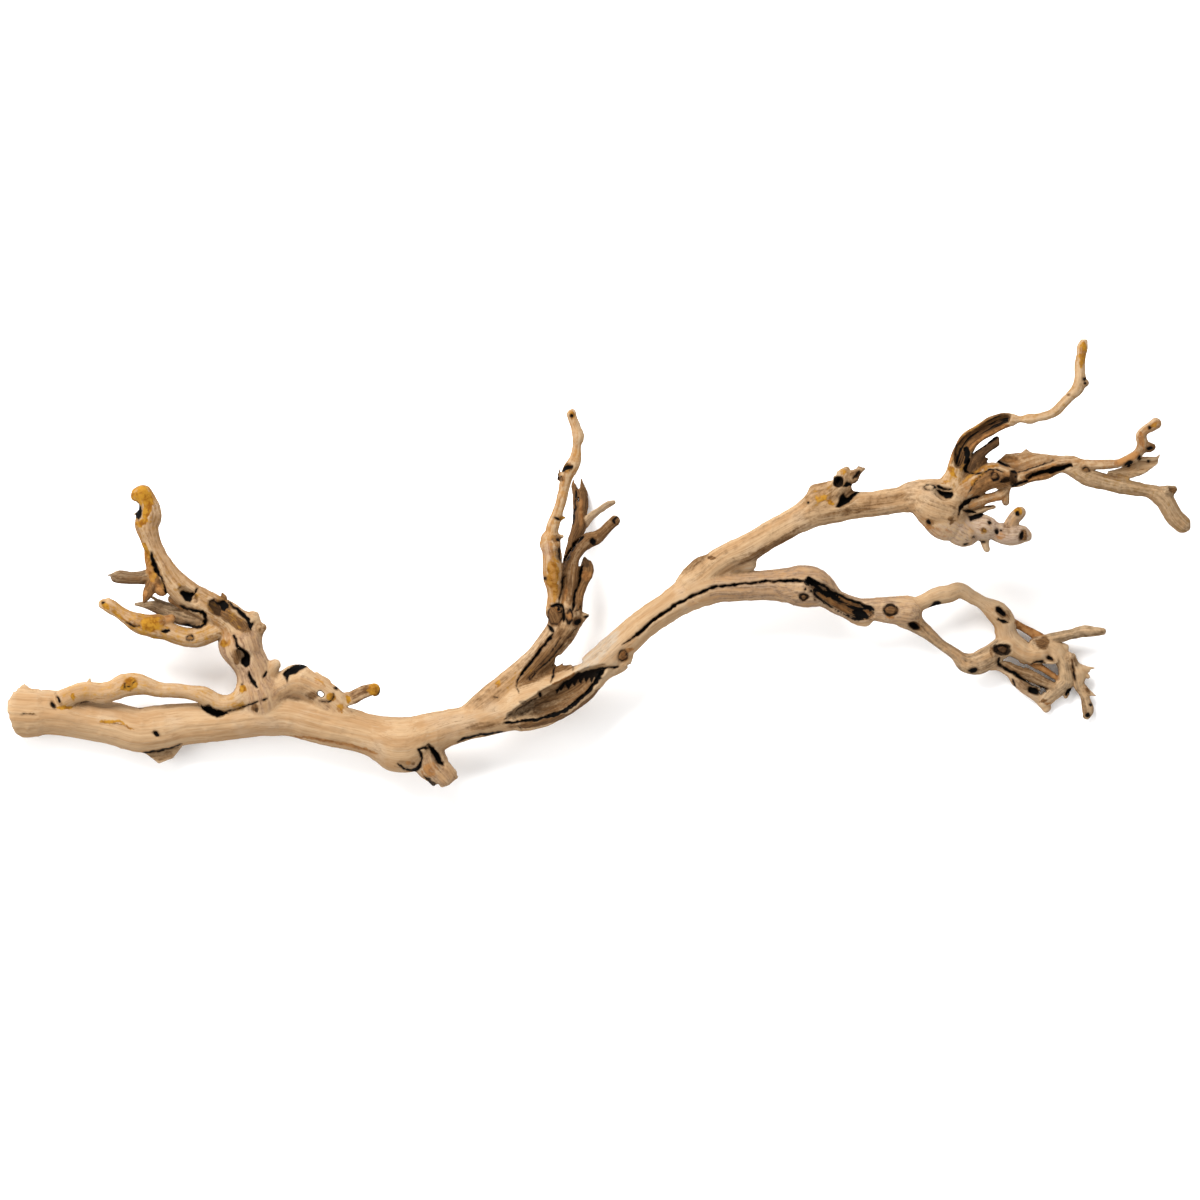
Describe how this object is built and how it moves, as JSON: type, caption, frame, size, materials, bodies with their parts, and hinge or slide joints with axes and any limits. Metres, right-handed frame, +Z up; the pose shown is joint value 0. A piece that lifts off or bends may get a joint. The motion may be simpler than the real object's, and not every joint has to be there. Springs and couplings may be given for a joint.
{
  "type": "sandblasted grapevine branch",
  "caption": "Bare sandblasted grapevine branch with forked, gnarled, torn limbs, lying on its low points.",
  "frame": {"origin": "bottom centre of the branch's box, on the surface that it lies on", "axes": "+X along the branch from the thick sawn butt to the thin forked end, +Y across it, +Z up"},
  "size_m": [0.9017, 0.3432, 0.1058],
  "materials": {
    "branch": "bare, sandblasted, matt"
  },
  "bodies": {
    "root": {"branch": "branch"}
  },
  "joints": []
}
